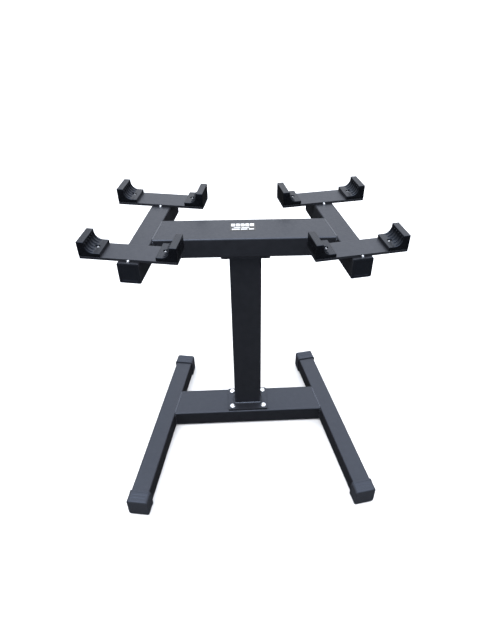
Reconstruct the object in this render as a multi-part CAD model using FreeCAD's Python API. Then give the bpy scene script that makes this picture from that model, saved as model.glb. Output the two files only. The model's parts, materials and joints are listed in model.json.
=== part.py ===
import FreeCAD, Part
import math
import os

# A free-standing floor stand that holds a pair of adjustable dumbbells.
# Millimetres. +X is the user's right, +Y is away from the user, +Z is up.
# The origin is on the floor, under the middle of the stand's bounding box.

# plan of the stand
splay_angle = 10.0         # each leg and each top rail turns outwards by this, towards the front
leg_spread = 241.0         # middle plane to a leg's centreline, measured at the post
rail_spread = 233.0        # middle plane to a top rail's centreline, measured at the post
post_setback = 72.0        # middle of a leg to the cross tube's centreline, along the leg

# square tube of the legs and top rails
square_tube = 50.0
square_wall = 2.0
square_corner = 4.0
leg_length = 585.0
rail_length = 354.0
rail_front = 153.0         # beam's middle plane to a rail's front end, along the rail

# rectangular tube of the cross tube and the beam, as high as the square tube
cross_depth = 100.0
cross_wall = 2.0
cross_corner = 4.0

# post and its two welded end flanges
post_width = 80.0
post_depth = 40.0
post_wall = 2.0
post_corner = 4.0
post_length = 525.0
flange_width = 120.0
flange_depth = 91.0
flange_thickness = 6.0
flange_corner = 5.0

# flange bolts: button heads with a hexagon socket, and nuts welded inside the tubes
bolt_spacing_x = 95.0
bolt_spacing_y = 65.0
bolt_diameter = 10.0
bolt_length = 20.0
bolt_head_diameter = 17.5
bolt_head_height = 5.5
bolt_socket = 6.0
bolt_socket_depth = 3.2
bolt_nut = 16.0            # across the flats
bolt_nut_height = 8.0
bolt_hole_clearance = 1.0  # on the diameter

# moulded caps over the leg ends
cap_wall = 4.0
cap_overlap = 33.0
cap_edge = 4.0             # rounding of the closed end
cap_lip_step = 0.8
cap_lip_length = 6.0
cap_clearance = 0.05       # between the cap and the tube, each side
groove_length = 40.0       # two shallow grooves cross the cap's top
groove_width = 3.0
groove_depth = 0.6
groove_pitch = 9.0

# plugs in the rail ends
plug_face = 3.0
plug_skirt = 12.0
plug_wall = 2.0
plug_clearance = 0.1

# saddle plates, square across the rails
plate_length = 220.0
plate_width = 65.0
plate_thickness = 6.0
plate_corner = 2.0
plate_margin = 7.5         # rail end to the nearer edge of a plate

# cradles, one at each end of a plate
cradle_length = 48.0
cradle_height = 34.0
cradle_base = 9.0
cradle_wall = 16.5
cradle_radius = 19.0
cradle_edge = 1.5
rib_count = 6
rib_width = 3.4
rib_height = 1.4
rib_drop = 5.0             # top of the wall to the upper end of a rib
rib_margin = 6.0           # side of the cradle to the middle of the outer ribs

# cradle screws, with a washer and a nut under the plate
screw_inset = 14.5         # inner end of the cradle to the screw's axis
screw_diameter = 5.0
screw_length = 16.0
screw_head_diameter = 8.5
screw_head_height = 3.2
screw_bore = 11.0
screw_bore_depth = 5.0
screw_hole_clearance = 0.5
washer_diameter = 10.0
washer_thickness = 1.0
screw_nut = 8.0
screw_nut_height = 4.0
thread_clearance = 0.05    # radial, between a thread's solid and its nut

# welds
frame_weld = 4.0
plate_weld = 5.0
plate_weld_length = 7.0
weld_crown = 0.15          # bulge of a bead's face, as a share of its leg length

# blank adhesive plate on the beam
label_width = 62.0
label_depth = 40.0
label_thickness = 0.4
label_corner = 2.0
label_offset_x = -4.5
label_offset_y = 9.0

# derived places
sides = {"left": -1, "right": 1}
leg_base = cap_wall
leg_top = leg_base + square_tube
post_bottom = leg_top + flange_thickness
post_top = post_bottom + post_length
beam_base = post_top + flange_thickness
beam_top = beam_base + square_tube
plate_top = beam_top + plate_thickness
post_y = post_setback * math.cos(math.radians(splay_angle))
leg_front = leg_length / 2 + post_setback
plate_front = rail_front - plate_margin - plate_width / 2
plate_rear = rail_front - rail_length + plate_margin + plate_width / 2
plate_places = {"front": plate_front, "rear": plate_rear}
screw_place = plate_length / 2 - cradle_length + screw_inset
up = FreeCAD.Vector(0, 0, 1)
origin = FreeCAD.Vector(0, 0, 0)
x_axis = FreeCAD.Vector(1, 0, 0)
y_axis = FreeCAD.Vector(0, 1, 0)


def moved(shape, x=0.0, y=0.0, z=0.0):
    copy = shape.copy()
    copy.translate(FreeCAD.Vector(x, y, z))
    return copy


def turned(shape, axis, angle):
    copy = shape.copy()
    copy.rotate(origin, axis, angle)
    return copy


def on_side(shape, side, spread):
    """Place a shape from a rail's own frame: X outwards, -Y forwards along the rail."""
    placed = moved(turned(shape, up, splay_angle), spread, post_y)
    if side < 0:
        placed = placed.mirror(origin, x_axis)
    return placed


def rounded_rectangle(width, depth, radius):
    """Outline centred on the origin in the XY plane, corners as arcs."""
    half_w = width / 2
    half_d = depth / 2
    edges = []
    corners = [(half_w, half_d, 0), (-half_w, half_d, 90), (-half_w, -half_d, 180), (half_w, -half_d, 270)]
    ends = []
    for x, y, start in corners:
        centre = FreeCAD.Vector(x - math.copysign(radius, x), y - math.copysign(radius, y), 0)
        points = []
        for angle in (start, start + 45, start + 90):
            turn = math.radians(angle)
            points.append(centre + FreeCAD.Vector(math.cos(turn), math.sin(turn), 0) * radius)
        ends.append((points[0], points[2]))
        edges.append(Part.Arc(*points).toShape())
    for index, (_, leave) in enumerate(ends):
        arrive = ends[(index + 1) % len(ends)][0]
        edges.append(Part.makeLine(leave, arrive))
    return Part.Wire(Part.__sortEdges__(edges))


def bar(width, depth, length, radius):
    """Solid bar with rounded long edges, standing on the XY plane."""
    return Part.Face(rounded_rectangle(width, depth, radius)).extrude(up * length)


def tube(width, depth, length, wall, radius):
    inside = bar(width - 2 * wall, depth - 2 * wall, length, radius - wall)
    return bar(width, depth, length, radius).cut(inside)


def along_rail(shape, front, base, height):
    """Lay an upright bar down along a rail, its end at `front`, its underside at `base`."""
    return moved(turned(shape, x_axis, -90), 0, -front, base + height / 2)


def cylinder(diameter, height, x, y, z):
    return Part.makeCylinder(diameter / 2, height, FreeCAD.Vector(x, y, z), up)


def hexagon(across_flats, height):
    corner = across_flats / math.sqrt(3)
    points = []
    for index in range(7):
        turn = math.radians(60 * index)
        points.append(FreeCAD.Vector(corner * math.cos(turn), corner * math.sin(turn), 0))
    return Part.Face(Part.makePolygon(points)).extrude(up * height)


def nut(across_flats, height, thread):
    hole = cylinder(thread + 2 * thread_clearance, height, 0, 0, 0)
    return hexagon(across_flats, height).cut(hole)


def dome_head(diameter, height):
    """Button head standing on the XY plane, a slice of a sphere."""
    radius = (diameter ** 2 / 4 + height ** 2) / (2 * height)
    ball = Part.makeSphere(radius, FreeCAD.Vector(0, 0, height - radius))
    return ball.common(Part.makeCylinder(diameter / 2, height))


def bolt_places():
    places = []
    for x in (-bolt_spacing_x / 2, bolt_spacing_x / 2):
        for y in (-bolt_spacing_y / 2, bolt_spacing_y / 2):
            places.append((x, post_y + y))
    return places


def flange_holes(base, height):
    hole = bolt_diameter + bolt_hole_clearance
    return Part.makeCompound([cylinder(hole, height, x, y, base) for x, y in bolt_places()])


def upside_down(shape):
    """Copy from the post's lower joint to its upper one, which mirrors it."""
    return shape.mirror(FreeCAD.Vector(0, 0, (leg_top + beam_base) / 2), up)


def long_tube(length, front, base):
    return along_rail(tube(square_tube, square_tube, length, square_wall, square_corner),
                      front, base, square_tube)


def solid_rail(front, length, base):
    """Outside shape of a leg or rail, used to trim what meets it."""
    return along_rail(bar(square_tube, square_tube, length, square_corner), front, base, square_tube)


def cross_member(spread, base):
    """Tube from one leg or rail to the other, its ends cut at the splay angle."""
    length = 2 * spread
    section = tube(square_tube, cross_depth, length, cross_wall, cross_corner)
    member = moved(turned(section, y_axis, 90), -spread, post_y, base + square_tube / 2)
    reach = 2 * cross_depth
    beyond = Part.makeBox(reach, 2 * reach, square_tube, FreeCAD.Vector(-square_tube / 2, -reach, base))
    for side in sides.values():
        member = member.cut(on_side(beyond, side, spread))
    return member


def fillet_bead(length, leg, opening):
    """Upright bead in a corner at the origin: one face along +X, the other turned by `opening`."""
    along = FreeCAD.Vector(leg, 0, 0)
    across = FreeCAD.Vector(leg * math.cos(math.radians(opening)), leg * math.sin(math.radians(opening)), 0)
    middle = (along + across) * (0.5 + weld_crown)
    face = Part.Arc(along, middle, across).toShape()
    outline = Part.Wire([Part.makeLine(origin, along), face, Part.makeLine(across, origin)])
    return Part.Face(outline).extrude(up * length)


def frame_joint_welds(spread, base):
    """Beads where a cross member meets its two legs or rails: front, back, top and underside."""
    turn = math.radians(splay_angle)
    upright = square_tube - 2 * square_corner
    beads = []
    for side in sides.values():
        for end, opening, sweep in ((-1, 90 + splay_angle, 180), (1, 90 - splay_angle, 90 + splay_angle)):
            across = -square_tube / 2
            along = (end * cross_depth / 2 - across * math.sin(turn)) / math.cos(turn)
            x = spread + across * math.cos(turn) - along * math.sin(turn)
            y = post_y + across * math.sin(turn) + along * math.cos(turn)
            bead = moved(turned(fillet_bead(upright, frame_weld, opening), up, sweep), x, y,
                         base + square_corner)
            beads.append(bead if side > 0 else bead.mirror(origin, x_axis))
        run = (cross_depth - 2 * cross_corner) / math.cos(turn)
        skew = square_tube / 2 * math.tan(turn)
        corner = FreeCAD.Vector(-square_tube / 2, -run / 2 + skew, 0)
        body = solid_rail(cross_depth, 2 * cross_depth, base)
        for level in (base, base + square_tube - square_corner):
            groove = Part.makeBox(square_corner, run, square_corner, corner + up * level)
            beads.append(on_side(groove.cut(body), side, spread))
    return Part.makeCompound(beads)


def flange():
    """Lower flange of the post, on top of the cross tube."""
    plate = moved(bar(flange_width, flange_depth, flange_thickness, flange_corner), 0, post_y, leg_top)
    return plate.cut(flange_holes(leg_top, flange_thickness))


def flange_bead():
    """Fillet all round the foot of the post."""
    foot = rounded_rectangle(post_width + 2 * frame_weld, post_depth + 2 * frame_weld,
                             post_corner + frame_weld)
    shin = rounded_rectangle(post_width, post_depth, post_corner)
    shin.translate(up * frame_weld)
    ring = Part.makeLoft([foot, shin], True, True)
    ring = ring.cut(bar(post_width, post_depth, frame_weld, post_corner))
    return moved(ring, 0, post_y, post_bottom)


def flange_bolts():
    head = dome_head(bolt_head_diameter, bolt_head_height)
    socket = moved(hexagon(bolt_socket, bolt_socket_depth), 0, 0, bolt_head_height - bolt_socket_depth)
    shank = cylinder(bolt_diameter, bolt_length, 0, 0, -bolt_length)
    bolt = head.cut(socket).fuse(shank)
    return Part.makeCompound([moved(bolt, x, y, post_bottom) for x, y in bolt_places()])


def flange_nuts():
    """Nuts on the inner face of the tube wall under the flange."""
    piece = nut(bolt_nut, bolt_nut_height, bolt_diameter)
    top = leg_top - cross_wall
    return Part.makeCompound([moved(piece, x, y, top - bolt_nut_height) for x, y in bolt_places()])


def leg_cap(end):
    """Cap over one leg end. `end` is 1 at the front and -1 at the rear."""
    outer = square_tube + 2 * cap_wall
    length = cap_overlap + cap_wall
    inset = outer - 2 * cap_lip_step
    body = bar(inset, inset, length, square_corner + cap_wall - cap_lip_step)
    far_edges = [edge for edge in body.Edges if edge.BoundBox.ZMin > length - cap_edge]
    body = body.makeFillet(cap_edge - cap_lip_step, far_edges)
    lip = bar(outer, outer, cap_lip_length, square_corner + cap_wall)
    size = square_tube + 2 * cap_clearance
    mouth = bar(size, size, cap_overlap, square_corner + cap_clearance)
    cap = body.fuse(lip).cut(mouth)
    for step in (1, 2):
        groove = Part.makeBox(groove_length, groove_depth, groove_width)
        place = cap_lip_length + step * groove_pitch - groove_width / 2
        surface = -outer / 2 + cap_lip_step
        cap = cap.cut(moved(groove, -groove_length / 2, surface, place))
    cap = moved(turned(cap, x_axis, -90), 0, 0, outer / 2)
    reach = leg_front if end > 0 else leg_length - leg_front
    cap = moved(cap, 0, reach - cap_overlap)
    return turned(cap, up, 180) if end > 0 else cap


def rail_plug(end):
    """Plug pressed into one rail end, its face level with the tube. `end` is 1 at the front."""
    size = square_tube - 2 * square_wall - 2 * plug_clearance
    radius = square_corner - square_wall
    plug = bar(size, size, plug_skirt, radius)
    hollow = bar(size - 2 * plug_wall, size - 2 * plug_wall, plug_skirt - plug_face, radius / 2)
    plug = plug.cut(hollow)
    plug = moved(turned(plug, x_axis, -90), 0, 0, beam_base + square_tube / 2)
    reach = rail_front if end > 0 else rail_length - rail_front
    plug = moved(plug, 0, reach - plug_skirt)
    return turned(plug, up, 180) if end > 0 else plug


def saddle_plate(place):
    """Plate across a rail at `place`, measured forwards from the beam's middle."""
    plate = moved(bar(plate_length, plate_width, plate_thickness, plate_corner), 0, -place, beam_top)
    hole = screw_diameter + screw_hole_clearance
    for x in (-screw_place, screw_place):
        plate = plate.cut(cylinder(hole, plate_thickness, x, -place, beam_top))
    return plate


def cradle_outline(proud):
    """Side view of a cradle in the XZ plane, its inner end at X = 0, the hollow raised by `proud`."""
    wall_face = cradle_length - cradle_wall - proud
    floor = cradle_base + proud
    radius = cradle_radius - proud
    centre = FreeCAD.Vector(cradle_length - cradle_wall - cradle_radius, 0, cradle_base + cradle_radius)
    low = FreeCAD.Vector(centre.x, 0, floor)
    middle = centre + FreeCAD.Vector(math.sqrt(0.5), 0, -math.sqrt(0.5)) * radius
    high = FreeCAD.Vector(wall_face, 0, centre.z)
    corners = [
        high,
        FreeCAD.Vector(wall_face, 0, cradle_height),
        FreeCAD.Vector(cradle_length, 0, cradle_height),
        FreeCAD.Vector(cradle_length, 0, 0),
        origin,
        FreeCAD.Vector(0, 0, floor),
        low,
    ]
    edges = [Part.makeLine(start, finish) for start, finish in zip(corners, corners[1:])]
    edges.append(Part.Arc(low, middle, high).toShape())
    return Part.Face(Part.Wire(edges))


def cradle():
    """Cradle with its outer wall towards +X, its inner end at X = 0, centred on Y = 0."""
    body = cradle_outline(0.0).extrude(y_axis * plate_width)
    top_edges = [edge for edge in body.Edges if edge.BoundBox.ZMin > cradle_height - cradle_edge]
    body = body.makeFillet(cradle_edge, top_edges)
    rib_run = cradle_length - cradle_wall - cradle_radius
    rib_zone = Part.makeBox(cradle_length - rib_run, rib_width, cradle_height - rib_drop,
                            FreeCAD.Vector(rib_run, 0, 0))
    rib = cradle_outline(rib_height).extrude(y_axis * rib_width).common(rib_zone)
    pitch = (plate_width - 2 * rib_margin) / (rib_count - 1)
    ribs = []
    for index in range(rib_count):
        ribs.append(moved(rib, 0, rib_margin + index * pitch - rib_width / 2))
    body = body.multiFuse(ribs)
    middle = plate_width / 2
    bore = cylinder(screw_bore, cradle_height, screw_inset, middle, cradle_base - screw_bore_depth)
    hole = cylinder(screw_diameter + screw_hole_clearance, cradle_base, screw_inset, middle, 0)
    return moved(body.cut(bore).cut(hole).removeSplitter(), 0, -middle)


def plate_cradle(place, outward):
    """Cradle on the plate at `place`: `outward` is 1 for the end away from the post."""
    piece = moved(cradle(), plate_length / 2 - cradle_length, 0, 0)
    if outward < 0:
        piece = piece.mirror(origin, x_axis)
    return moved(piece, 0, -place, plate_top)


def at_every_screw(piece, z):
    copies = []
    for side in sides.values():
        for place in plate_places.values():
            for x in (-screw_place, screw_place):
                copies.append(on_side(moved(piece, x, -place, z), side, rail_spread))
    return Part.makeCompound(copies)


def cradle_screws():
    head = dome_head(screw_head_diameter, screw_head_height)
    screw = head.fuse(cylinder(screw_diameter, screw_length, 0, 0, -screw_length))
    return at_every_screw(screw, plate_top + cradle_base - screw_bore_depth)


def cradle_washers():
    disc = cylinder(washer_diameter, washer_thickness, 0, 0, 0)
    washer = disc.cut(cylinder(screw_diameter + screw_hole_clearance, washer_thickness, 0, 0, 0))
    return at_every_screw(washer, beam_top - washer_thickness)


def cradle_nuts():
    piece = nut(screw_nut, screw_nut_height, screw_diameter)
    return at_every_screw(piece, beam_top - washer_thickness - screw_nut_height)


def plate_welds():
    """Short beads on the rail's top, at the middle of each plate's front and rear edge."""
    bead = turned(fillet_bead(plate_weld_length, plate_weld, 90), y_axis, 90)
    bead = moved(bead, -plate_weld_length / 2)
    bead = turned(bead, x_axis, 180)
    copies = []
    for side in sides.values():
        for place in plate_places.values():
            front_bead = moved(bead, 0, -place - plate_width / 2, beam_top)
            rear_bead = moved(bead.mirror(origin, y_axis), 0, -place + plate_width / 2, beam_top)
            copies.append(on_side(front_bead, side, rail_spread))
            copies.append(on_side(rear_bead, side, rail_spread))
    return Part.makeCompound(copies)


def label_plate():
    label = bar(label_width, label_depth, label_thickness, label_corner)
    return moved(label, label_offset_x, post_y + label_offset_y, beam_top)


def build_nodes():
    nodes = {}
    wall_holes = flange_holes(leg_top - cross_wall, cross_wall)
    nodes["base_cross_tube"] = cross_member(leg_spread, leg_base).cut(wall_holes)
    nodes["base_frame_welds"] = frame_joint_welds(leg_spread, leg_base)
    nodes["post_tube"] = moved(tube(post_width, post_depth, post_length, post_wall, post_corner),
                               0, post_y, post_bottom)
    nodes["post_bottom_flange"] = flange()
    nodes["post_top_flange"] = upside_down(flange())
    nodes["post_welds"] = Part.makeCompound([flange_bead(), upside_down(flange_bead())])
    nodes["base_flange_bolts"] = flange_bolts()
    nodes["base_weld_nuts"] = flange_nuts()
    nodes["top_flange_bolts"] = upside_down(flange_bolts())
    nodes["top_weld_nuts"] = upside_down(flange_nuts())
    nodes["beam_tube"] = cross_member(rail_spread, beam_base).cut(upside_down(wall_holes))
    nodes["top_frame_welds"] = frame_joint_welds(rail_spread, beam_base)
    for side_name, side in sides.items():
        leg = long_tube(leg_length, leg_front, leg_base)
        rail = long_tube(rail_length, rail_front, beam_base)
        nodes["leg_tube_" + side_name] = on_side(leg, side, leg_spread)
        nodes["top_rail_" + side_name] = on_side(rail, side, rail_spread)
        for end_name, end in (("front", 1), ("rear", -1)):
            nodes["leg_cap_" + end_name + "_" + side_name] = on_side(leg_cap(end), side, leg_spread)
            nodes["rail_plug_" + end_name + "_" + side_name] = on_side(rail_plug(end), side, rail_spread)
        for end_name, place in plate_places.items():
            plate = saddle_plate(place)
            nodes["saddle_plate_" + end_name + "_" + side_name] = on_side(plate, side, rail_spread)
            for face_name, outward in (("outer", 1), ("inner", -1)):
                piece = plate_cradle(place, outward)
                name = "cradle_" + end_name + "_" + side_name + "_" + face_name
                nodes[name] = on_side(piece, side, rail_spread)
    nodes["saddle_plate_welds"] = plate_welds()
    nodes["cradle_screws"] = cradle_screws()
    nodes["cradle_washers"] = cradle_washers()
    nodes["cradle_nuts"] = cradle_nuts()
    nodes["beam_label"] = label_plate()
    return nodes


os.makedirs("parts", exist_ok=True)
for name, shape in build_nodes().items():
    shape.exportStep("parts/" + name + ".step")
    print(name, "solids", len(shape.Solids), "valid", shape.isValid(), "volume", round(shape.Volume))
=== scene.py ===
import json
import math
import bmesh
import bpy
import numpy as np
from mathutils import Matrix, Vector


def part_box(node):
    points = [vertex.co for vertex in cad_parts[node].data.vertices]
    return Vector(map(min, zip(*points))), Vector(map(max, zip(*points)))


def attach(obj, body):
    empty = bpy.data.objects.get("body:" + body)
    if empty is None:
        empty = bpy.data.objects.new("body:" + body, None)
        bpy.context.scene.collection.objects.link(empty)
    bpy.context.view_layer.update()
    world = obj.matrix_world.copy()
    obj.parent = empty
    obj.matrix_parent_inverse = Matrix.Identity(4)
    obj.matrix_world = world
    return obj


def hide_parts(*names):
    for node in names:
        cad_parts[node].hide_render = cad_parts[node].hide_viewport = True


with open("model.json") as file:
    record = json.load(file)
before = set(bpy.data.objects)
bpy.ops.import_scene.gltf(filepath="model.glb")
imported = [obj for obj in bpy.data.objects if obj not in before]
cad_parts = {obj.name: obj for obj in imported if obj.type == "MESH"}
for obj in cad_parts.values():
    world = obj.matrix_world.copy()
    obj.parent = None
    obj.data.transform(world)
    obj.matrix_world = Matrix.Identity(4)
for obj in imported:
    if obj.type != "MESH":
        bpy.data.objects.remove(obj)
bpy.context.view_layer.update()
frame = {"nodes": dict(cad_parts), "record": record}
print("frame loaded:", len(frame["nodes"]), "nodes")

mm = 0.001
splay = math.radians(10)      # legs and top rails open towards the front by this, each side
sideSign = {"left": -1, "right": 1}
endSign = {"front": 1, "rear": -1}
mergeGap = 0.002 * mm         # points nearer than this become one


# quads between neighbouring rows and columns of a grid, numbered row by row
def gridFaces(rows, columns, wrap=False):
    row = np.arange(rows - 1)[:, None] * columns
    column = np.arange(columns if wrap else columns - 1)[None, :]
    beside = (column + 1) % columns
    corners = [row + column, row + beside, row + columns + beside, row + columns + column]
    return np.stack([c + 0 * row for c in corners], -1).reshape(-1, 4)


# a grid of points (rows, columns, 3) as points and quads, with the first and last rows closed if asked
def gridSurface(points, wrap=False, loops=False):
    rows, columns = points.shape[:2]
    if loops:
        points = np.concatenate([points, points[:1]], 0)
        rows += 1
    return points.reshape(-1, 3), gridFaces(rows, columns, wrap).tolist()


# joins surfaces into one mesh object with shared points merged and its faces turned outwards; edges
# that turn by more than sharp degrees stay crisp
def makePiece(name, surfaces, material, nodes, sharp=35):
    points = []
    faces = []
    count = 0
    for surfacePoints, surfaceFaces in surfaces:
        points.append(surfacePoints)
        faces += [[corner + count for corner in face] for face in surfaceFaces]
        count += len(surfacePoints)
    mesh = bpy.data.meshes.new(name)
    mesh.from_pydata(np.concatenate(points).tolist(), [], faces)
    work = bmesh.new()
    work.from_mesh(mesh)
    bmesh.ops.remove_doubles(work, verts=work.verts, dist=mergeGap)
    bmesh.ops.dissolve_degenerate(work, edges=work.edges, dist=mergeGap / 2)
    bmesh.ops.recalc_face_normals(work, faces=work.faces)
    work.to_mesh(mesh)
    work.free()
    mesh.polygons.foreach_set("use_smooth", np.ones(len(mesh.polygons), bool))
    mesh.set_sharp_from_angle(angle=math.radians(sharp))
    mesh.materials.append(material)
    piece = bpy.data.objects.new(name, mesh)
    bpy.context.scene.collection.objects.link(piece)
    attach(piece, "root")
    if nodes:
        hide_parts(*nodes)


def boxMiddle(node):
    low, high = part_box(node)
    return np.array((low + high) / 2)


# turns points from a leg's or rail's own directions (outwards, backwards, up) into the stand's
def alongSplay(points, middle, side):
    out = np.array([side * math.cos(splay), math.sin(splay), 0])
    back = np.array([-side * math.sin(splay), math.cos(splay), 0])
    up = np.array([0, 0, 1])
    return np.asarray(middle) + points @ np.stack([out, back, up])


# a rounded rectangle as places of the corner centres (-1 to 1) and outward directions, anticlockwise
def ringPattern(perSide, perCorner):
    places = []
    outward = []
    for quarter in range(4):
        start = quarter * math.pi / 2
        turn = np.array([[math.cos(start), math.sin(start)], [-math.sin(start), math.cos(start)]])
        angle = np.linspace(0, math.pi / 2, perCorner)
        corner = np.stack([np.cos(angle), np.sin(angle)], -1)
        side = np.linspace(1, -1, perSide + 2)[1:-1]
        places.append(np.tile([1.0, 1.0], (perCorner, 1)) @ turn)
        places.append(np.stack([side, np.ones(perSide)], -1) @ turn)
        outward.append(corner @ turn)
        outward.append(np.tile([0.0, 1.0], (perSide, 1)) @ turn)
    return np.concatenate(places), np.concatenate(outward)


# rounded rectangles stacked upwards: each row is (half width, half depth, corner radius, height)
def stackedRings(rows, perSide=6, perCorner=7):
    places, outward = ringPattern(perSide, perCorner)
    halfX, halfY, radius, height = np.asarray(rows, float).T[:, :, None]
    x = (halfX - radius) * places[:, 0] + radius * outward[:, 0]
    y = (halfY - radius) * places[:, 1] + radius * outward[:, 1]
    return np.stack([x, y, height + 0 * x], -1)


# rows for a rounded edge: a quarter circle of radius edge that ends level with height, and corners
# that tighten with it
def roundedRows(halfX, halfY, radius, height, edge, direction, steps=5):
    angle = np.linspace(0, math.pi / 2, steps)
    inset = edge * (1 - np.cos(angle))
    rise = height - direction * edge * (1 - np.sin(angle))
    tightest = 0.05 * mm
    rows = np.stack([halfX - inset, halfY - inset, np.maximum(radius - inset, tightest), rise], -1)
    return rows.tolist()


# eases from 0 to 1 with level ends: three times the square less twice the cube
def smoothStep(value):
    value = np.clip(value, 0, 1)
    return value * value * (3 - 2 * value)


# a hump with eased sides: 1 along its top, down to 0 a little past half; slope says how steep
def softHump(distance, half, slope, crown=0.0):
    return smoothStep(slope - slope * distance / half + crown)


def newMaterial(name):
    material = bpy.data.materials.new(name)
    material.use_nodes = True
    nodes = material.node_tree.nodes
    links = material.node_tree.links
    return material, nodes, links, nodes["Principled BSDF"]


def addNode(nodes, kind, **settings):
    node = nodes.new("ShaderNode" + kind)
    for key, value in settings.items():
        setattr(node, key, value)
    return node


def addNoise(nodes, links, place, scale, detail=3.0, roughness=0.55):
    noise = addNode(nodes, "TexNoise")
    noise.inputs["Scale"].default_value = scale
    noise.inputs["Detail"].default_value = detail
    noise.inputs["Roughness"].default_value = roughness
    links.new(place, noise.inputs["Vector"])
    return noise.outputs["Fac"]


def addRamp(nodes, links, source, stops):
    ramp = addNode(nodes, "ValToRGB")
    band = ramp.color_ramp
    while len(band.elements) < len(stops):
        band.elements.new(0.5)
    for element, (position, colour) in zip(band.elements, stops):
        element.position = position
        element.color = (*colour, 1)
    links.new(source, ramp.inputs["Fac"])
    return ramp.outputs["Color"]


def grey(value):
    return (value, value, value)


def addMath(nodes, links, operation, first, second):
    node = addNode(nodes, "Math", operation=operation)
    for socket, value in zip(node.inputs, (first, second)):
        if isinstance(value, (int, float)):
            socket.default_value = value
        else:
            links.new(value, socket)
    return node.outputs[0]


# roughness that wanders from low to high as the source passes through its middle range
def addRoughness(nodes, links, shader, source, low, high):
    rough = addRamp(nodes, links, source, [(0.3, grey(low)), (0.7, grey(high))])
    links.new(rough, shader.inputs["Roughness"])


# a bump from a height, laid over the normal below it where one is given
def addBump(nodes, links, height, distance, strength, below=None):
    bump = addNode(nodes, "Bump")
    bump.inputs["Distance"].default_value = distance
    bump.inputs["Strength"].default_value = strength
    links.new(height, bump.inputs["Height"])
    if below is not None:
        links.new(below, bump.inputs["Normal"])
    return bump.outputs["Normal"]


# powder coat: two near-black greys mixed by a slow cloud and a fine fleck, with a pebbled bump over a
# slower orange-peel one on eased edges, and a roughness that wanders with a middle-sized noise
powderCoatLook = {
    "dark": (0.0050, 0.0052, 0.0061),
    "light": (0.0118, 0.0122, 0.0142),
    "specular": 0.43,
    "sheenColour": (0.68, 0.78, 1.0),
    "roughness": (0.39, 0.46),
    "cloud": 0.3,                 # share of the slow cloud in the colour; the rest is fleck
    "cloudScale": 70.0,
    "patchScale": 160.0,
    "peelScale": 380.0,
    "peelDepth": 0.12 * mm,
    "grainScale": 1000.0,
    "grainDepth": 0.10 * mm,
    "edgeRadius": 0.9 * mm,
}


def powderCoat(name, look, lift=1.0):
    material, nodes, links, shader = newMaterial(name)
    place = addNode(nodes, "TexCoord").outputs["Object"]
    slow = addNoise(nodes, links, place, look["cloudScale"], 4)
    fleck = addNoise(nodes, links, place, look["grainScale"], 3, 0.7)
    slowShare = addMath(nodes, links, "MULTIPLY", slow, look["cloud"])
    fleckShare = addMath(nodes, links, "MULTIPLY", fleck, 1 - look["cloud"])
    mixed = addMath(nodes, links, "ADD", slowShare, fleckShare)
    dark = tuple(lift * channel for channel in look["dark"])
    light = tuple(lift * channel for channel in look["light"])
    colour = addRamp(nodes, links, mixed, [(0.32, dark), (0.68, light)])
    links.new(colour, shader.inputs["Base Color"])
    patches = addNoise(nodes, links, place, look["patchScale"], 3)
    addRoughness(nodes, links, shader, patches, *look["roughness"])
    shader.inputs["Specular IOR Level"].default_value = look["specular"]
    shader.inputs["Specular Tint"].default_value = (*look["sheenColour"], 1)
    edge = addNode(nodes, "Bevel", samples=6)
    edge.inputs["Radius"].default_value = look["edgeRadius"]
    peel = addNoise(nodes, links, place, look["peelScale"], 2)
    normal = addBump(nodes, links, peel, look["peelDepth"], 0.5, edge.outputs["Normal"])
    normal = addBump(nodes, links, fleck, look["grainDepth"], 0.6, normal)
    links.new(normal, shader.inputs["Normal"])
    return material


# moulded plastic: near-black, flecked by a fine noise, with a leathery grain of small cells as bump
plasticLook = {
    "cradle": {"dark": (0.0010, 0.0011, 0.0013), "light": (0.0034, 0.0036, 0.0042),
               "rough": (0.24, 0.36), "specular": 0.27},
    "cap": {"dark": (0.0140, 0.0148, 0.0172), "light": (0.0235, 0.0248, 0.0284),
            "rough": (0.42, 0.54), "specular": 0.34},
    "plug": {"dark": (0.0022, 0.0023, 0.0027), "light": (0.0052, 0.0055, 0.0062),
             "rough": (0.46, 0.58), "specular": 0.28},
    "sheenColour": (0.56, 0.70, 1.0),
    "fleckScale": 420.0,
    "patchScale": 330.0,
    "grainScale": 1100.0,
    "grainDepth": 0.10 * mm,
}


def mouldedPlastic(name, look):
    material, nodes, links, shader = newMaterial(name)
    place = addNode(nodes, "TexCoord").outputs["Object"]
    fleck = addNoise(nodes, links, place, plasticLook["fleckScale"], 4, 0.7)
    colour = addRamp(nodes, links, fleck, [(0.30, look["dark"]), (0.72, look["light"])])
    links.new(colour, shader.inputs["Base Color"])
    patches = addNoise(nodes, links, place, plasticLook["patchScale"], 3)
    addRoughness(nodes, links, shader, patches, *look["rough"])
    shader.inputs["Specular IOR Level"].default_value = look["specular"]
    shader.inputs["Specular Tint"].default_value = (*plasticLook["sheenColour"], 1)
    cells = addNode(nodes, "TexVoronoi", feature="DISTANCE_TO_EDGE")
    cells.inputs["Scale"].default_value = plasticLook["grainScale"]
    links.new(place, cells.inputs["Vector"])
    normal = addBump(nodes, links, cells.outputs["Distance"], plasticLook["grainDepth"], 0.6)
    links.new(normal, shader.inputs["Normal"])
    return material


# zinc plate: bright metal clouded by a worn tone, whose roughness is streaked by a noise squeezed
# along the height, with tiny pits
zincLook = {
    "bright": {"colour": (0.82, 0.84, 0.87), "worn": (0.62, 0.64, 0.67), "rough": (0.16, 0.34)},
    "plain": {"colour": (0.50, 0.50, 0.51), "worn": (0.32, 0.31, 0.31), "rough": (0.34, 0.52)},
    "squeeze": (1.0, 1.0, 6.0),
    "streakScale": 420.0,
    "cloudScale": 300.0,
    "pitScale": 2600.0,
    "pitDepth": 0.02 * mm,
}


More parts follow.
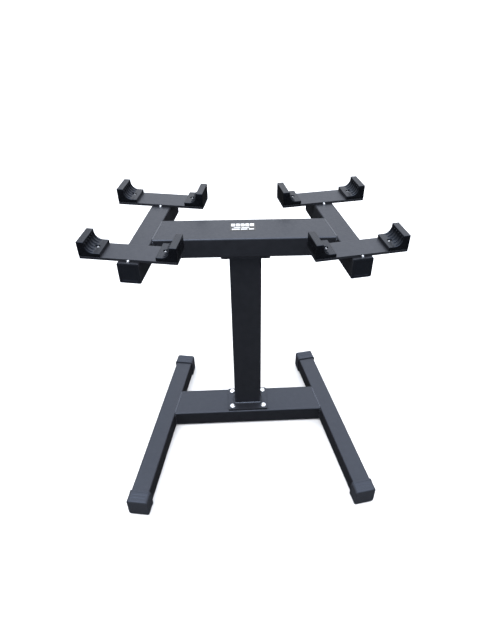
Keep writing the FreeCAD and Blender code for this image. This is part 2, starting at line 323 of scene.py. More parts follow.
def zincPlate(name, look):
    material, nodes, links, shader = newMaterial(name)
    place = addNode(nodes, "TexCoord").outputs["Object"]
    squeeze = addNode(nodes, "Mapping")
    squeeze.inputs["Scale"].default_value = zincLook["squeeze"]
    links.new(place, squeeze.inputs["Vector"])
    streaks = addNoise(nodes, links, squeeze.outputs["Vector"], zincLook["streakScale"], 4)
    addRoughness(nodes, links, shader, streaks, *look["rough"])
    cloud = addNoise(nodes, links, place, zincLook["cloudScale"], 3)
    colour = addRamp(nodes, links, cloud, [(0.35, look["worn"]), (0.6, look["colour"])])
    links.new(colour, shader.inputs["Base Color"])
    shader.inputs["Metallic"].default_value = 1.0
    pits = addNoise(nodes, links, place, zincLook["pitScale"], 2)
    links.new(addBump(nodes, links, pits, zincLook["pitDepth"], 0.3), shader.inputs["Normal"])
    return material


# the saddle plates are a shade lighter than the tubes, and the weld beads lighter and shinier
glossyCoat = {**powderCoatLook, "roughness": (0.22, 0.32), "specular": 0.6}
paint = powderCoat("charcoalPowderCoat", powderCoatLook)
platePaint = powderCoat("platePowderCoat", powderCoatLook, lift=1.1)
weldPaint = powderCoat("paintedWeld", glossyCoat, lift=1.3)
cradlePlastic = mouldedPlastic("cradlePlastic", plasticLook["cradle"])
capPlastic = mouldedPlastic("capPlastic", plasticLook["cap"])
plugPlastic = mouldedPlastic("plugPlastic", plasticLook["plug"])
zinc = zincPlate("brightZinc", zincLook["bright"])
plainSteel = zincPlate("plainSteel", zincLook["plain"])
print("materials made")


# every CAD node that stays keeps its shape and takes the finish of its slot
slotFinish = {
    "frame_paint": paint,
    "plate_paint": platePaint,
    "painted_weld": weldPaint,
    "zinc_hardware": zinc,
    "plain_nut_steel": plainSteel,
    "cradle_plastic": cradlePlastic,
    "cap_plastic": capPlastic,
    "plug_plastic": plugPlastic,
}
for row in frame["record"]["subparts"]:
    if row["material_slot"] in slotFinish:
        for cadSlot in frame["nodes"][row["node"]].material_slots:
            cadSlot.material = slotFinish[row["material_slot"]]


cradleLook = {
    "length": 48.0 * mm,
    "height": 34.0 * mm,
    "base": 9.0 * mm,
    "wall": 16.5 * mm,
    "curve": 19.0 * mm,
    "width": 65.0 * mm,
    "edge": 1.2 * mm,
    "sideEdge": 0.9 * mm,
    "footEdge": 0.4 * mm,
    "ribs": 6,
    "ribWidth": 3.4 * mm,
    "ribHeight": 1.9 * mm,
    "ribMargin": 6.0 * mm,
    "ribDrop": 4.0 * mm,
    "ribTop": 2.5 * mm,
    "ribStart": 0.10,             # angle up the curve where the ribs begin, in radians
    "ribRun": 0.25,               # and the angle over which they rise
    "ribSlope": 1.5,
    "ribCrown": 0.25,
    "ribFade": 2.0 * mm,
    "boreInset": 14.5 * mm,
    "bore": 5.5 * mm,
    "boreDepth": 5.0 * mm,
    "boreRim": 0.5 * mm,
    "patch": 7.5 * mm,
    "rings": 12,
    "frontRows": 6,
    "arcRows": 18,
    "wallRows": 7,
    "columnStep": 0.62 * mm,
}


# how far the ribs stand up at each place across the width: soft humps, evenly spaced
def ribHump(across, look):
    half = look["width"] / 2 - look["ribMargin"]
    centres = np.linspace(-half, half, look["ribs"])
    distance = np.abs(across[..., None] - centres).min(-1)
    return softHump(distance, look["ribWidth"] / 2, look["ribSlope"], look["ribCrown"]) * look["ribHeight"]


# one value for each row, carried all the way across the width
def carried(values, across):
    return np.repeat(values[:, None], len(across), 1)


# The grid round the screw bore: its square rings turn into circles towards the bore. Two rings share
# the bore's radius, so its wall drops straight down between them.
def boredPatch(look):
    count = look["rings"]
    wallRing = count // 2
    i, j = np.meshgrid(np.arange(-count, count + 1), np.arange(-count, count + 1), indexing="ij")
    ring = np.maximum(np.abs(i), np.abs(j))
    radii = np.concatenate([np.linspace(0, look["bore"], wallRing), [look["bore"]],
                            np.linspace(look["bore"] + look["boreRim"], look["patch"], count - wallRing)])
    angle = np.arctan2(j, i)
    circle = np.stack([radii[ring] * np.cos(angle), radii[ring] * np.sin(angle)])
    square = np.stack([i, j]) / np.maximum(ring, 1) * radii[ring]
    blend = smoothStep((count - ring) / (count - wallRing - 1))
    return blend * circle + (1 - blend) * square, ring < wallRing


# The inside of a cradle, row by row: flat foot with its bore, quarter circle, upright wall. phi is
# the angle up the curve, and the ribs stand along the curve's normal there, fading in at the foot,
# out below the wall's top and out round the bore.
def cradleInside(look, across, columnStart):
    patch, edge, base, curve = look["patch"], look["edge"], look["base"], look["curve"]
    centre = look["length"] - look["wall"] - curve
    middle = np.arange(-look["rings"], look["rings"] + 1) / look["rings"] * patch
    before = np.linspace(edge, look["boreInset"] - patch, look["frontRows"])[1:-1]
    footX = np.concatenate([before, look["boreInset"] + middle])
    x = carried(footX, across)
    y = np.repeat(across[None, :], len(footX), 0)
    bent, inside = boredPatch(look)
    rows = slice(len(before), len(before) + len(middle))
    columns = slice(columnStart, columnStart + len(middle))
    x[rows, columns] = look["boreInset"] + bent[0]
    y[rows, columns] = bent[1]
    phi = np.arcsin(np.clip((x - centre) / curve, 0, 1))
    z = base + curve * (1 - np.cos(phi))

    lastPhi = math.asin((look["boreInset"] + patch - centre) / curve)
    arc = np.linspace(lastPhi, math.pi / 2, look["arcRows"])[1:]
    rise = np.linspace(base + curve, look["height"] - edge, look["wallRows"])[1:]
    upperX = np.concatenate([centre + curve * np.sin(arc), np.full(len(rise), centre + curve)])
    upperZ = np.concatenate([base + curve * (1 - np.cos(arc)), rise])
    upperPhi = np.concatenate([arc, np.full(len(rise), math.pi / 2)])
    x = np.concatenate([x, carried(upperX, across)])
    y = np.concatenate([y, np.repeat(across[None, :], len(upperX), 0)])
    z = np.concatenate([z, carried(upperZ, across)])
    phi = np.concatenate([phi, carried(upperPhi, across)])

    fadeIn = smoothStep((phi - look["ribStart"]) / look["ribRun"])
    fadeOut = smoothStep((look["height"] - look["ribDrop"] - z) / look["ribTop"])
    fromBore = np.hypot(x - look["boreInset"], y) - look["bore"] - look["boreRim"]
    stand = ribHump(y, look) * (fadeIn * fadeOut) * smoothStep(fromBore / look["ribFade"])
    x = x - stand * np.sin(phi)
    z = z + stand * np.cos(phi)
    z[rows, columns] = np.where(inside, base - look["boreDepth"], z[rows, columns])
    return x, y, z


# the rest of the side outline: wall top, outer face, underside and inner end, with rounded edges
def cradleOutside(look):
    length, height, base = look["length"], look["height"], look["base"]
    edge, footEdge = look["edge"], look["footEdge"]
    wallX = length - look["wall"]
    turn = np.linspace(0, math.pi / 2, 5)
    sweep, lift = edge * (1 - np.cos(turn)), edge * (1 - np.sin(turn))
    return np.concatenate([
        np.stack([wallX + sweep, height - lift], -1)[1:],
        np.stack([np.linspace(wallX + edge, length - edge, 6), np.full(6, height)], -1)[1:-1],
        np.stack([length - lift, height - sweep], -1),
        np.stack([np.full(8, length), np.linspace(height - edge, footEdge, 8)], -1)[1:],
        np.stack([np.linspace(length - footEdge, footEdge, 12), np.zeros(12)], -1),
        np.stack([np.zeros(4), np.linspace(footEdge, base - edge, 4)], -1),
        np.stack([sweep, base - lift], -1)[1:],
    ])


# rounded sides: the outline shrinks along its own normals over the last columns
def roundedSides(points, look):
    rim = points[:, -1, [0, 2]]
    tangent = np.roll(rim, -1, 0) - np.roll(rim, 1, 0)
    tangent /= np.linalg.norm(tangent, axis=1, keepdims=True) + 1e-12
    inward = np.stack([tangent[:, 1], -tangent[:, 0]], -1)
    step = np.linspace(0, math.pi / 2, 4)[1:]
    shrink = look["sideEdge"] * (1 - np.cos(step))
    out = look["width"] / 2 - look["sideEdge"] * (1 - np.sin(step))
    plan = rim[:, None, :] + inward[:, None, :] * shrink[None, :, None]
    ends = []
    for sign in (-1, 1):
        aside = np.repeat(sign * out[None, :], len(rim), 0)
        ends.append(np.stack([plan[..., 0], aside, plan[..., 1]], -1))
    return np.concatenate([ends[0][:, ::-1], points, ends[1]], 1)


# A cradle is its side outline carried across the width as one closed band, with a flat face over
# each side. Its middle is at 0 along and across, and its foot at height 0.
def cradleSurface(look):
    reach = look["width"] / 2 - look["sideEdge"]
    flankCount = int((reach - look["patch"]) / look["columnStep"])
    flank = np.linspace(look["patch"], reach, flankCount + 1)[1:]
    middle = np.arange(-look["rings"], look["rings"] + 1) / look["rings"] * look["patch"]
    across = np.concatenate([-flank[::-1], middle, flank])
    x, y, z = cradleInside(look, across, flankCount)
    outside = cradleOutside(look)
    x = np.concatenate([x, carried(outside[:, 0], across)])
    y = np.concatenate([y, np.repeat(across[None, :], len(outside), 0)])
    z = np.concatenate([z, carried(outside[:, 1], across)])
    points = roundedSides(np.stack([x, y, z], -1), look)
    surface, faces = gridSurface(points, loops=True)
    total, width = points.shape[:2]
    faces.append([row * width for row in range(total)])
    faces.append([row * width + width - 1 for row in range(total)][::-1])
    return surface - np.array([look["length"] / 2, 0, 0]), faces


cradlePoints, cradleFaces = cradleSurface(cradleLook)
cradlePlaces = []
for endName in endSign:
    for sideName, side in sideSign.items():
        for faceName, outward in (("outer", 1), ("inner", -1)):
            node = f"cradle_{endName}_{sideName}_{faceName}"
            low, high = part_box(node)
            seat = np.array([(low.x + high.x) / 2, (low.y + high.y) / 2, low.z])
            turned = cradlePoints * np.array([outward, 1, 1])
            makePiece(f"ribbedCradle_{endName}_{sideName}_{faceName}",
                      [(alongSplay(turned, seat, side), cradleFaces)],
                      cradlePlastic, [node], sharp=40)
            screwOffset = (cradleLook["boreInset"] - cradleLook["length"] / 2) * outward
            cradlePlaces.append(alongSplay(np.array([[screwOffset, 0, 0]]), seat, side)[0])
print("cradles made:", len(cradlePlaces))


# distance from the middle to a hexagon's side at each angle
def hexRadius(angle, acrossFlats):
    within = np.mod(angle, math.pi / 3) - math.pi / 6
    return acrossFlats / 2 / np.cos(within)


# a screw with a domed head and hexagon socket, turned about its axis; each row is a radius and a
# height, and the socket's rows take the hexagon's radius instead of a circle's
def domedScrew(head, headHeight, shank, shankLength, socket, socketDepth, turns=48):
    angle = np.arange(turns) * 2 * math.pi / turns
    ease = 0.15 * mm                 # chamfer round the head and the socket's mouth
    rim = 0.22 * headHeight          # straight edge under the dome
    flat = 0.62 * socket             # flat ring round the socket
    tip = 0.12 * shank               # chamfer at the shank's end
    dome = np.linspace(0, math.pi / 2, 9)
    domeRadius = flat + (head / 2 - flat) * np.cos(dome)
    domeHeight = rim + (headHeight - rim) * np.sin(dome)
    radius = [0, shank / 2 - tip, shank / 2, shank / 2, head / 2 - ease, head / 2]
    height = [-shankLength, -shankLength, tip - shankLength, 0, 0, ease]
    rings = np.concatenate([radius, domeRadius])[:, None] + 0 * angle[None, :]
    hexagon = hexRadius(angle, socket)
    socketRings = np.stack([hexagon + 0.8 * ease, hexagon, hexagon, 0.35 * hexagon, 0 * hexagon])
    socketHeight = headHeight - np.array([0, ease, socketDepth, socketDepth, socketDepth])
    rings = np.concatenate([rings, socketRings])
    height = np.concatenate([height, domeHeight, socketHeight])
    points = np.stack([rings * np.cos(angle), rings * np.sin(angle), height[:, None] + 0 * rings], -1)
    return gridSurface(points, wrap=True)


# a hexagon nut with turned-down corners: each height's radius is the smaller of the hexagon's and a
# cone's, and the bore closes the loop
def hexNut(acrossFlats, height, bore, turns=72):
    angle = np.arange(turns) * 2 * math.pi / turns
    spread = acrossFlats / math.sqrt(3) - acrossFlats / 2
    chamfer = 0.55 * spread          # height of the turned-down corners
    faceShare = 0.97                 # the cone starts just inside the flats
    coneShare = 1.4                  # and ends well outside the corners
    lip = 0.25 * mm                  # countersink round the bore
    level = np.array([0, chamfer, height / 2, height - chamfer, height])
    cone = acrossFlats / 2 * faceShare + spread * np.array([0, 1, 1, 1, 0]) * coneShare
    outer = np.minimum(hexRadius(angle, acrossFlats)[None, :], cone[:, None])
    boreRadius = np.array([bore / 2 + lip, bore / 2, bore / 2, bore / 2 + lip])
    boreHeight = np.array([height, height - lip, lip, 0])
    radius = np.concatenate([outer, boreRadius[:, None] + 0 * angle[None, :]])
    z = np.concatenate([level, boreHeight])[:, None] + 0 * radius
    points = np.stack([radius * np.cos(angle), radius * np.sin(angle), z], -1)
    return gridSurface(points, wrap=True, loops=True)


# a ring of rectangular section turned about its axis, with its outer edges eased
def flatWasher(outer, inner, height, turns=48):
    angle = np.arange(turns) * 2 * math.pi / turns
    ease = 0.15 * mm
    radius = np.array([inner, inner, outer - ease, outer, outer, outer - ease])[:, None] + 0 * angle
    z = np.array([0, height, height, height - ease, ease, 0])[:, None] + 0 * angle
    points = np.stack([radius * np.cos(angle), radius * np.sin(angle), z], -1)
    return gridSurface(points, wrap=True, loops=True)


# the same surface at each place, turned upside down if asked
def copiesAt(surface, places, flip=False):
    points, faces = surface
    if flip:
        points = points * np.array([1, -1, -1])
    return [(points + np.asarray(place), faces) for place in places]


hardwareLook = {
    "flangeHead": 17.5 * mm, "flangeHeadHeight": 5.5 * mm, "flangeShank": 10.0 * mm,
    "flangeLength": 20.0 * mm, "flangeSocket": 6.0 * mm, "flangeSocketDepth": 3.2 * mm,
    "screwHead": 8.5 * mm, "screwHeadHeight": 3.2 * mm, "screwShank": 5.0 * mm,
    "screwLength": 16.0 * mm, "screwSocket": 3.0 * mm, "screwSocketDepth": 1.8 * mm,
    "screwNut": 8.0 * mm, "screwNutHeight": 4.0 * mm,
    "washer": 10.0 * mm, "washerHeight": 1.0 * mm, "washerGap": 0.25 * mm,
    "flangeNut": 16.0 * mm, "flangeNutHeight": 8.0 * mm,
    "threadGap": 0.1 * mm,
}


# screws and nuts stand where their CAD boxes and the cradles' bores put them
def fittedHardware(look):
    flangeScrew = domedScrew(look["flangeHead"], look["flangeHeadHeight"], look["flangeShank"],
                             look["flangeLength"], look["flangeSocket"], look["flangeSocketDepth"])
    flangeNut = hexNut(look["flangeNut"], look["flangeNutHeight"], look["flangeShank"] + look["threadGap"])
    for level, flip in (("base", False), ("top", True)):
        low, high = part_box(level + "_flange_bolts")
        x = [low.x + look["flangeHead"] / 2, high.x - look["flangeHead"] / 2]
        y = [low.y + look["flangeHead"] / 2, high.y - look["flangeHead"] / 2]
        seat = low.z + look["flangeHeadHeight"] if flip else high.z - look["flangeHeadHeight"]
        places = [(a, b, seat) for a in x for b in y]
        makePiece(level + "FlangeScrews", copiesAt(flangeScrew, places, flip), zinc,
                  [level + "_flange_bolts"])
        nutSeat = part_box(level + "_weld_nuts")[0].z
        makePiece(level + "WeldNuts", copiesAt(flangeNut, [(a, b, nutSeat) for a, b, _ in places]),
                  plainSteel, [level + "_weld_nuts"])
    small = domedScrew(look["screwHead"], look["screwHeadHeight"], look["screwShank"], look["screwLength"],
                       look["screwSocket"], look["screwSocketDepth"], 40)
    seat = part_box("cradle_screws")[1].z - look["screwHeadHeight"]
    spots = [(p[0], p[1]) for p in cradlePlaces]
    makePiece("cradleScrews", copiesAt(small, [(*s, seat) for s in spots]), zinc,
              ["cradle_screws"])
    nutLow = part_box("cradle_nuts")[0].z
    smallNut = hexNut(look["screwNut"], look["screwNutHeight"], look["screwShank"] + look["threadGap"], 48)
    makePiece("cradleNuts", copiesAt(smallNut, [(*s, nutLow) for s in spots]), zinc,
              ["cradle_nuts"])
    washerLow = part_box("cradle_washers")[0].z
    washerBore = look["screwShank"] / 2 + look["washerGap"]
    washer = flatWasher(look["washer"] / 2, washerBore, look["washerHeight"])
    makePiece("cradleWashers", copiesAt(washer, [(*s, washerLow) for s in spots]), zinc,
              ["cradle_washers"])


fittedHardware(hardwareLook)
print("hardware made")


capLook = {
    "outer": 29.0 * mm,
    "corner": 8.0 * mm,
    "wall": 3.9 * mm,
    "length": 37.0 * mm,
    "lip": 6.0 * mm,
    "lipStep": 0.8 * mm,
    "endEdge": 3.2 * mm,
    "mouthEdge": 0.6 * mm,
    "grooves": (15.0 * mm, 24.0 * mm),
    "grooveWidth": 3.2 * mm,
    "grooveDepth": 0.6 * mm,
    "grooveSlope": 1.6,
    "grooveEnd": 2.0 * mm,
}


# A cap is a rounded square carried along the leg: up the inside, round the mouth, over the lip and
# its step, along the body and round the closed end. Two hollows cross the top of the body.
def capSurface(look):
    half, corner = look["outer"], look["corner"]
    body = half - look["lipStep"]
    bodyCorner = corner - look["lipStep"]
    inner = half - look["wall"]
    innerCorner = corner - look["wall"]
    length = look["length"]
    rows = [[0, 0, 0, length - look["wall"]],
            [inner, inner, innerCorner, length - look["wall"]],
            [inner, inner, innerCorner, 0]]
    rows += roundedRows(half, half, corner, 0, look["mouthEdge"], -1, 4)[::-1]
    # the lip ends in a small rounded step down to the body
    for inset, place in ((0, -0.5 * mm), (0.25 * mm, -0.1 * mm), (look["lipStep"], 0.3 * mm)):
        rows.append([half - inset, half - inset, corner - inset, look["lip"] + place])
    bodyStart = len(rows)
    run = np.linspace(look["lip"] + 1 * mm, length - look["endEdge"], 40)[:-1]
    rows += [[body, body, bodyCorner, place] for place in run]
    rows += roundedRows(body, body, bodyCorner, length, look["endEdge"], 1, 8)
    rows += [[0, 0, 0, length]]
    points = stackedRings(rows, 14, 7)
    along = points[..., 2]
    hollow = np.zeros(along.shape)
    for centre in look["grooves"]:
        nearby = softHump(np.abs(along - centre), look["grooveWidth"] / 2, look["grooveSlope"])
        hollow = np.maximum(hollow, nearby)
    reach = smoothStep((body - bodyCorner - np.abs(points[..., 0])) / look["grooveEnd"])
    nearTop = points[..., 1] > body - 0.1 * mm
    onBody = (np.arange(len(rows)) >= bodyStart)[:, None]
    points[..., 1] -= np.where(nearTop & onBody, hollow * reach * look["grooveDepth"], 0)
    return gridSurface(points, wrap=True)


plugLook = {
    "half": 22.9 * mm,
    "corner": 2.0 * mm,
    "edge": 0.8 * mm,
    "depth": 12.0 * mm,
    "dish": 0.5 * mm,
    "dishSlope": 0.6 * mm,
    "rim": 4.0 * mm,
    "skirtWall": 2.0 * mm,
    "face": 3.0 * mm,
}


# a plug is a rounded square carried inwards from its face, with a shallow dish in the face and a
# hollow skirt behind it
def plugSurface(look):
    half, corner = look["half"], look["corner"]
    inner = half - look["skirtWall"]
    dish = half - look["rim"]
    dishFloor = dish - look["dishSlope"]
    rows = [[0, 0, 0, -look["dish"]], [dishFloor, dishFloor, corner, -look["dish"]]]
    rows += [[dish, dish, corner, 0]]
    rows += roundedRows(half, half, corner, 0, look["edge"], 1, 5)[::-1]
    rows += [[half, half, corner, -look["depth"]], [inner, inner, corner / 2, -look["depth"]],
             [inner, inner, corner / 2, -look["face"]], [0, 0, 0, -look["face"]]]
    return gridSurface(stackedRings(rows, 8, 6), wrap=True)


# lays an upright stack down along a leg or rail: its height runs towards the front or the rear
def laidAlong(surface, middle, side, end):
    points, faces = surface
    laid = np.stack([points[:, 0], -end * points[:, 2], points[:, 1]], -1)
    return alongSplay(laid, middle, side), faces


# a cap on each end of the legs and a plug in each end of the rails, centred on their CAD boxes
def fittedEnds():
    capPoints, capFaces = capSurface(capLook)
    cap = (capPoints - np.array([0, 0, capLook["length"] / 2]), capFaces)
    plugPoints, plugFaces = plugSurface(plugLook)
    plug = (plugPoints + np.array([0, 0, plugLook["depth"] / 2]), plugFaces)
    for endName, end in endSign.items():
        for sideName, side in sideSign.items():
            tag = f"{endName}_{sideName}"
            makePiece("legCap_" + tag, [laidAlong(cap, boxMiddle("leg_cap_" + tag), side, end)],
                      capPlastic, ["leg_cap_" + tag], sharp=30)
            makePiece("railPlug_" + tag, [laidAlong(plug, boxMiddle("rail_plug_" + tag), side, end)],
                      plugPlastic, ["rail_plug_" + tag], sharp=30)


fittedEnds()
print("caps and plugs made")


weldLook = {
    "fillet": 4.0 * mm,
    "tack": 5.0 * mm,
    "tackLength": 7.0 * mm,
    "pitch": 3.2 * mm,
    "ripple": 0.14,
    "lag": 0.45,
    "taper": 10,                  # the higher, the later an open bead's ends fall away
    "hollow": 1.25,               # above 1 it flattens a fillet's round
    "seamHalf": 3.0 * mm,
    "seamCrown": 0.7 * mm,
    "seamDepth": 3.0 * mm,
    "seamInset": 1.2 * mm,
    "corner": 4.0 * mm,
}


# A bead is a rounded section carried along a path. Its size swells and dips once per ripple, the
# ripples lag at the middle of the section so they curve, and an open bead tapers off at its ends.
def weldBead(path, first, second, section, look, closed=False):
    step = np.linalg.norm(np.diff(path, axis=0, append=path[:1] if closed else path[-1:]), axis=1)
    travelled = np.concatenate([[0], np.cumsum(step)[:-1]])
    middle = np.sin(math.pi * np.linspace(0, 1, len(section) - 1))
    lag = np.concatenate([[0], middle]) * look["lag"]
    wave = np.abs(np.sin(math.pi * (travelled[:, None] / look["pitch"] - lag[None, :])))
    swell = 1 - look["ripple"] * wave
    if not closed:
        along = travelled / travelled[-1] * 2 - 1
        swell = swell * np.sqrt(np.clip(1 - np.abs(along) ** look["taper"], 0, 1))[:, None]
    across = section[None, :, 0:1] * swell[..., None] * first[:, None, :]
    rise = section[None, :, 1:2] * swell[..., None] * second[:, None, :]
    return gridSurface(path[:, None, :] + across + rise, wrap=True, loops=closed)


# section of a fillet: the corner itself, then a quarter round from one face to the other, a little
# flatter than a circle
def filletSection(leg, look, steps=9):
    angle = np.linspace(0, math.pi / 2, steps)
    face = np.stack([np.cos(angle), np.sin(angle)], -1) ** look["hollow"]
    return np.concatenate([[[0, 0]], leg * face])


# section of a seam that fills a groove: a point down in it, then a low crown from edge to edge
def seamSection(look, steps=9):
    angle = np.linspace(0, math.pi, steps)
    crown = np.stack([look["seamHalf"] * np.cos(angle), look["seamCrown"] * np.sin(angle)], -1)
    return np.concatenate([[[0, -look["seamDepth"]]], crown])


# evenly spaced points from start to end
def straightPath(start, end, step=0.45 * mm):
    count = max(int(np.linalg.norm(np.subtract(end, start)) / step), 6)
    share = np.linspace(0, 1, count + 1)[:, None]
    return np.asarray(start) * (1 - share) + np.asarray(end) * share


# one straight bead in a leg's or rail's own directions: where it starts and ends, and the two ways
# that its section faces
def sideBead(start, end, first, second, section, middle, side, look):
    path = alongSplay(straightPath(start, end), middle, side)
    facing = [alongSplay(np.tile(way, (len(path), 1)), (0, 0, 0), side) for way in (first, second)]
    return weldBead(path, facing[0], facing[1], section, look)


# where a cross member meets its legs or rails: upright fillets in the corners, seams above and below
def jointBeads(crossNode, sideNode, look):
    low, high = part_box(crossNode)
    postY = boxMiddle("post_tube")[1]
    beads = []
    for sideName, side in sideSign.items():
        tube = boxMiddle(f"{sideNode}_{sideName}")
        spread = abs(tube[0]) - (postY - tube[1]) * math.tan(splay)
        centre = (side * spread, postY, 0)
        inner = -(high.z - low.z) / 2
        for end in (-1, 1):
            along = (end * (high.y - low.y) / 2 - inner * math.sin(splay)) / math.cos(splay)
            beam = (-math.cos(splay), math.sin(splay), 0)
            start = (inner, along, low.z + look["corner"])
            stop = (inner, along, high.z - look["corner"])
            beads.append(sideBead(start, stop, beam, (0, end, 0), filletSection(look["fillet"], look),
                                  centre, side, look))
        run = ((high.y - low.y) / 2 - look["corner"]) / math.cos(splay)
        skew = -inner * math.tan(splay)
        for level, way in ((high.z, 1), (low.z, -1)):
            start = (inner + look["seamInset"], skew - run, level)
            stop = (inner + look["seamInset"], skew + run, level)
            beads.append(sideBead(start, stop, (1, 0, 0), (0, 0, way), seamSection(look),
                                  centre, side, look))
    return beads


# the ring of weld round one end of the post, on its flange
def postRing(level, way, look):
    low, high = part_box("post_tube")
    middle = np.array([(low.x + high.x) / 2, (low.y + high.y) / 2])
    half = np.array([(high.x - low.x) / 2, (high.y - low.y) / 2]) - look["corner"]
    places, outward = ringPattern(perSide=90, perCorner=18)
    plan = places * half + outward * look["corner"] + middle
    path = np.concatenate([plan, np.full((len(plan), 1), level)], 1)
    first = np.concatenate([outward, np.zeros((len(plan), 1))], 1)
    second = np.tile([0.0, 0.0, way], (len(plan), 1))
    return weldBead(path, first, second, filletSection(look["fillet"], look), look, closed=True)


# short beads at the middle of each saddle plate's front and rear edges, where it sits on its rail
def plateTacks(look):
    beads = []
    half = look["tackLength"] / 2
    for endName in endSign:
        for sideName, side in sideSign.items():
            node = f"saddle_plate_{endName}_{sideName}"
            middle = boxMiddle(node)
            middle[2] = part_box(node)[0].z
            for way in (-1, 1):
                edge = way * cradleLook["width"] / 2
                beads.append(sideBead((-half, edge, 0), (half, edge, 0), (0, 0, 1), (0, way, 0),
                                      filletSection(look["tack"], look), middle, side, look))
    return beads


tackBeadLook = {
    "paint": powderCoatLook["dark"],
    "metal": (0.27, 0.285, 0.31),
    "patchScale": 320.0,
    "bareFrom": 0.34,
    "bareTo": 0.46,
    "paintRoughness": 0.42,
    "metalRoughness": 0.26,
    "pitDepth": 0.08 * mm,
}


# bright bead: thin paint gives way to bare metal wherever a middle-sized noise is high
def bareBead(name, look):
    material, nodes, links, shader = newMaterial(name)
    place = addNode(nodes, "TexCoord").outputs["Object"]
    patch = addNoise(nodes, links, place, look["patchScale"], 4)
    bareFrom, bareTo = look["bareFrom"], look["bareTo"]
    metal = addRamp(nodes, links, patch, [(bareFrom, grey(0.0)), (bareTo, grey(1.0))])
    links.new(metal, shader.inputs["Metallic"])
    colour = addRamp(nodes, links, patch, [(bareFrom, look["paint"]), (bareTo, look["metal"])])
    links.new(colour, shader.inputs["Base Color"])
    rough = [(0.3, grey(look["paintRoughness"])), (0.6, grey(look["metalRoughness"]))]
    links.new(addRamp(nodes, links, patch, rough), shader.inputs["Roughness"])
    links.new(addBump(nodes, links, patch, look["pitDepth"], 0.4), shader.inputs["Normal"])
    return material


tackBead = bareBead("tackBead", tackBeadLook)
postLow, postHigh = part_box("post_tube")
makePiece("baseJointWelds", jointBeads("base_cross_tube", "leg_tube", weldLook), weldPaint,
          ["base_frame_welds"], sharp=50)
makePiece("topJointWelds", jointBeads("beam_tube", "top_rail", weldLook), weldPaint,
          ["top_frame_welds"], sharp=50)
makePiece("postWelds", [postRing(postLow.z, 1, weldLook), postRing(postHigh.z, -1, weldLook)], weldPaint,
          ["post_welds"], sharp=50)
makePiece("plateTackWelds", plateTacks(weldLook), tackBead,
          ["saddle_plate_welds"], sharp=50)
print("welds made")


# the bars are rows of (middle along, middle across, half length, half width), in millimetres
labelLook = {
    "corner": 2.0 * mm,
    "edge": 0.12 * mm,
    "print": 0.03 * mm,
    "barCorner": 0.8 * mm,
    "bars": [(-23.0, 9.5, 4.6, 6.6), (-11.5, 9.5, 4.6, 6.6), (0.0, 9.5, 4.6, 6.6), (11.5, 9.5, 4.6, 6.6),
             (23.0, 9.5, 4.6, 6.6), (-13.5, -3.5, 8.0, 1.5), (6.5, -3.5, 9.5, 1.5),
             (-17.0, -12.0, 9.5, 2.3), (3.0, -12.0, 8.0, 2.3), (20.5, -12.0, 6.0, 2.3)],
    "film": {"dark": (0.008, 0.009, 0.010), "light": (0.012, 0.013, 0.015), "rough": (0.30, 0.40)},
    "ink": {"dark": (0.40, 0.41, 0.43), "light": (0.56, 0.57, 0.59), "rough": (0.45, 0.55)},
    "cloudScale": 700.0,
    "peelDepth": 0.02 * mm,
}


# printed film: two close tones clouded by a fine noise, with a faint bump like orange peel
def printedFilm(name, look):
    material, nodes, links, shader = newMaterial(name)
    place = addNode(nodes, "TexCoord").outputs["Object"]
    cloud = addNoise(nodes, links, place, labelLook["cloudScale"], 3)
    colour = addRamp(nodes, links, cloud, [(0.35, look["dark"]), (0.65, look["light"])])
    links.new(colour, shader.inputs["Base Color"])
    addRoughness(nodes, links, shader, cloud, *look["rough"])
    links.new(addBump(nodes, links, cloud, labelLook["peelDepth"], 0.3), shader.inputs["Normal"])
    return material


# a thin film with rounded corners, and plain bars and dashes printed on it in place of words
def fittedLabel(look):
    low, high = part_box("beam_label")
    middle = np.array((low + high) / 2) * np.array([1, 1, 0])
    halfX, halfY = (high.x - low.x) / 2, (high.y - low.y) / 2
    top, base = high.z - look["print"], low.z
    rows = [[0, 0, 0, base], [halfX, halfY, look["corner"], base]]
    rows += roundedRows(halfX, halfY, look["corner"], top, look["edge"], 1, 3) + [[0, 0, 0, top]]
    points, faces = gridSurface(stackedRings(rows), wrap=True)
    makePiece("beamLabel", [(points + middle, faces)], printedFilm("labelFilm", look["film"]),
              ["beam_label"])
    barBase = top - look["print"]
    bars = []
    for x, y, barX, barY in look["bars"]:
        rows = [[0, 0, 0, barBase]]
        rows += [[barX * mm, barY * mm, look["barCorner"], height] for height in (barBase, high.z)]
        rows += [[0, 0, 0, high.z]]
        points, faces = gridSurface(stackedRings(rows, 3, 4), wrap=True)
        bars.append((points + middle + np.array([x * mm, y * mm, 0]), faces))
    makePiece("beamLabelBars", bars, printedFilm("labelPrint", look["ink"]), [])


fittedLabel(labelLook)
print("label made")


cameraLook = {
    "lens": 29.48,
    "place": (-0.0300, -1.0899, 1.2397),
    "pitch": math.radians(41.93),
    "yaw": math.radians(4.68),
    "roll": math.radians(1.15),
    "shift": (-0.0451, 0.0715),
}


# the camera looks along yaw and pitch, then leans by roll
def addCamera(look):
    yaw, pitch, roll = look["yaw"], look["pitch"], look["roll"]
    ahead = Vector((math.sin(yaw) * math.cos(pitch), math.cos(yaw) * math.cos(pitch), -math.sin(pitch)))
    right = Vector((math.cos(yaw), -math.sin(yaw), 0))
    up = right.cross(ahead)
    leanRight = right * math.cos(roll) + up * math.sin(roll)
    leanUp = up * math.cos(roll) - right * math.sin(roll)
    data = bpy.data.cameras.new("standCamera")
    data.lens = look["lens"]
    data.shift_x, data.shift_y = look["shift"]
    camera = bpy.data.objects.new("standCamera", data)
    turn = Matrix((leanRight, leanUp, -ahead)).transposed()
    camera.matrix_world = Matrix.Translation(look["place"]) @ turn.to_4x4()
    bpy.context.scene.collection.objects.link(camera)
    bpy.context.scene.camera = camera


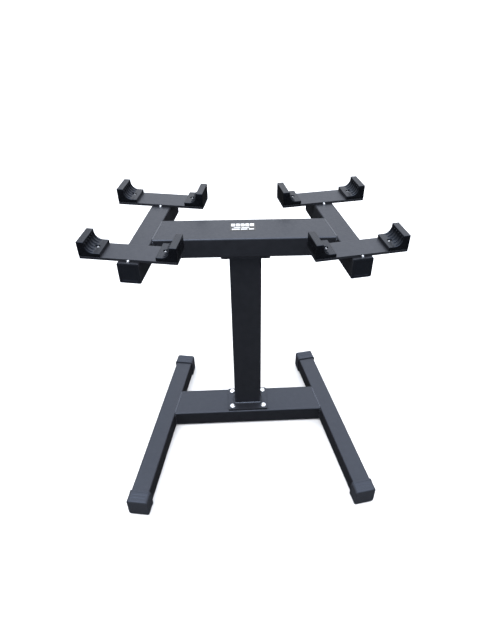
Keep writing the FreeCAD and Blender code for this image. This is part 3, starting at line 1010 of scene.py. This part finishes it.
# the sky's rows are (height from 0 straight down to 1 straight up, brightness)
studioLook = {
    "sky": [(0.0, 0.04), (0.45, 0.04), (0.48, 0.94), (0.66, 0.98),
            (0.74, 1.4), (0.86, 2.3), (0.93, 3.9), (1.0, 4.4)],
    "skyColour": (0.90, 0.93, 1.0),
    "skyStrength": 4.4,
    "softboxes": {
        "overhead": {"place": (-0.4, -0.5, 2.6), "aim": (0.0, 0.0, 0.3), "size": (2.2, 1.6), "power": 60},
        "behind": {"place": (0.6, 2.4, 2.3), "aim": (0.0, 0.0, 0.4), "size": (3.2, 1.4), "power": 14},
    },
    "floor": {"size": 60.0, "dark": 0.60, "light": 0.64, "cloudScale": 3.0, "roughness": 0.8},
}


# a rectangular area light at its place, turned to face its aim
def addSoftbox(name, look):
    data = bpy.data.lights.new(name, "AREA")
    data.shape = "RECTANGLE"
    data.size, data.size_y = look["size"]
    data.energy = look["power"]
    light = bpy.data.objects.new(name, data)
    place = Vector(look["place"])
    direction = Vector(look["aim"]) - place
    light.matrix_world = Matrix.Translation(place) @ direction.to_track_quat("-Z", "Y").to_matrix().to_4x4()
    bpy.context.scene.collection.objects.link(light)


# the room is a white dome that brightens from the horizon to straight overhead, dark below
def addRoom(look):
    world = bpy.data.worlds.new("studio")
    world.use_nodes = True
    nodes = world.node_tree.nodes
    links = world.node_tree.links
    split = addNode(nodes, "SeparateXYZ")
    links.new(addNode(nodes, "TexCoord").outputs["Generated"], split.inputs[0])
    height = addMath(nodes, links, "MULTIPLY_ADD", split.outputs["Z"], 0.5)
    height.node.inputs[2].default_value = 0.5
    colour = np.array(look["skyColour"]) / look["skyStrength"]
    glow = addRamp(nodes, links, height, [(place, tuple(value * colour)) for place, value in look["sky"]])
    background = nodes["Background"]
    links.new(glow, background.inputs["Color"])
    background.inputs["Strength"].default_value = look["skyStrength"]
    bpy.context.scene.world = world


# pale studio floor: near white with a faint cloudy noise; kept out of the paint's reflections
def addFloor(look):
    material, nodes, links, shader = newMaterial("paleFloor")
    place = addNode(nodes, "TexCoord").outputs["Object"]
    cloud = addNoise(nodes, links, place, look["cloudScale"], 3)
    colour = addRamp(nodes, links, cloud, [(0.3, grey(look["dark"])), (0.7, grey(look["light"]))])
    links.new(colour, shader.inputs["Base Color"])
    shader.inputs["Roughness"].default_value = look["roughness"]
    half = look["size"] / 2
    corners = [(-half, -half, 0), (half, -half, 0), (half, half, 0), (-half, half, 0)]
    mesh = bpy.data.meshes.new("studioFloor")
    mesh.from_pydata(corners, [], [(0, 1, 2, 3)])
    mesh.materials.append(material)
    floor = bpy.data.objects.new("studioFloor", mesh)
    floor.visible_glossy = False
    bpy.context.scene.collection.objects.link(floor)


def addStudio(look):
    addRoom(look)
    for name, box in look["softboxes"].items():
        addSoftbox(name, box)
    addFloor(look["floor"])
    bpy.context.scene.view_settings.view_transform = "Standard"


addCamera(cameraLook)
addStudio(studioLook)
print("camera, light and floor ready")
